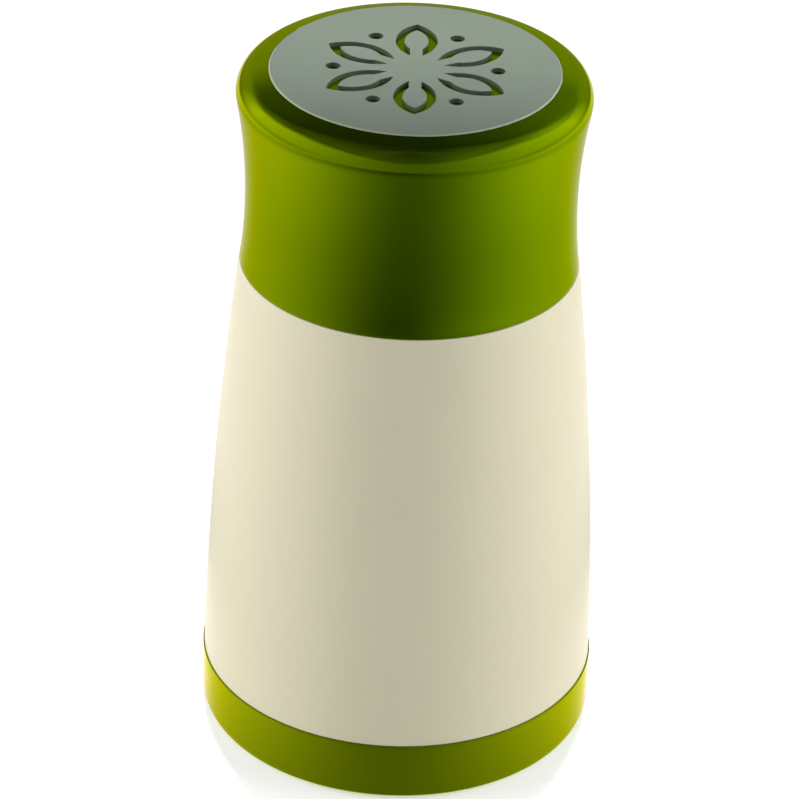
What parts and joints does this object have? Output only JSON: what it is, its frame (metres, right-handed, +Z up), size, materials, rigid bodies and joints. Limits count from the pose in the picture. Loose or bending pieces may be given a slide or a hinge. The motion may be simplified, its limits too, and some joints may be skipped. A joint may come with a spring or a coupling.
{
  "type": "herb mill",
  "caption": "Hand-held twist mill for herbs: a waisted grip cap drives a swept blade over a slotted plate at the foot of a tapered body, with a sprung presser and a twist-lock foot ring.",
  "frame": {"origin": "centre of the face that the base ring stands on", "axes": "+Z up the axis that the cap turns about; X and Y lie in the table plane, with -Y to the front"},
  "size_m": [0.0722, 0.0722, 0.13],
  "materials": {
    "green_plastic": "glossy moulded",
    "cream_plastic": "glossy moulded",
    "satin_disc": "satin, sage tint",
    "white_plastic": "moulded",
    "steel": "stainless",
    "bronze": "sintered",
    "silicone": "food-grade silicone"
  },
  "bodies": {
    "body": {"body_shell": "cream_plastic", "hopper_liner": "white_plastic", "stator_blade": "steel", "stator_gasket": "silicone"},
    "collar": {"collar": "white_plastic", "collar_seal": "silicone", "shaft_bush": "bronze", "press_spring": "steel"},
    "head": {"cap": "green_plastic", "top_disc": "satin_disc", "cap_screw": "steel", "screw_washer": "steel", "drive_shaft": "steel", "shaft_clip": "steel", "stop_clip": "steel", "thrust_washer": "white_plastic"},
    "presser": {"press_plate": "white_plastic", "press_wiper": "silicone"},
    "rotor": {"rotor_hub": "steel", "rotor_blade": "steel", "rotor_washer": "bronze", "rotor_clip": "steel"},
    "base": {"base_ring": "green_plastic"}
  },
  "joints": [
    {"name": "head_lift", "type": "slide", "parent": "body", "child": "collar", "axis": [0, 0, 1], "range_m": [0, 0.09]},
    {"name": "head_turn", "type": "hinge", "parent": "collar", "child": "head", "pos_m": [0, 0, 0.095], "axis": [0, 0, 1], "continuous": true},
    {"name": "press_slide", "type": "slide", "parent": "collar", "child": "presser", "axis": [0, 0, 1], "range_m": [0, 0.05], "stiffness_N_per_m": 250, "springref_m": -0.01, "deforming": ["press_spring"]},
    {"name": "rotor_turn", "type": "hinge", "parent": "body", "child": "rotor", "pos_m": [0, 0, 0.008], "axis": [0, 0, 1], "continuous": true},
    {"name": "base_turn", "type": "hinge", "parent": "body", "child": "base", "pos_m": [0, 0, 0.01], "axis": [0, 0, 1], "range_deg": [0, 35]}
  ],
  "couplings": [
    {"joint": "rotor_turn", "follows": "head_turn", "ratio": 1}
  ]
}
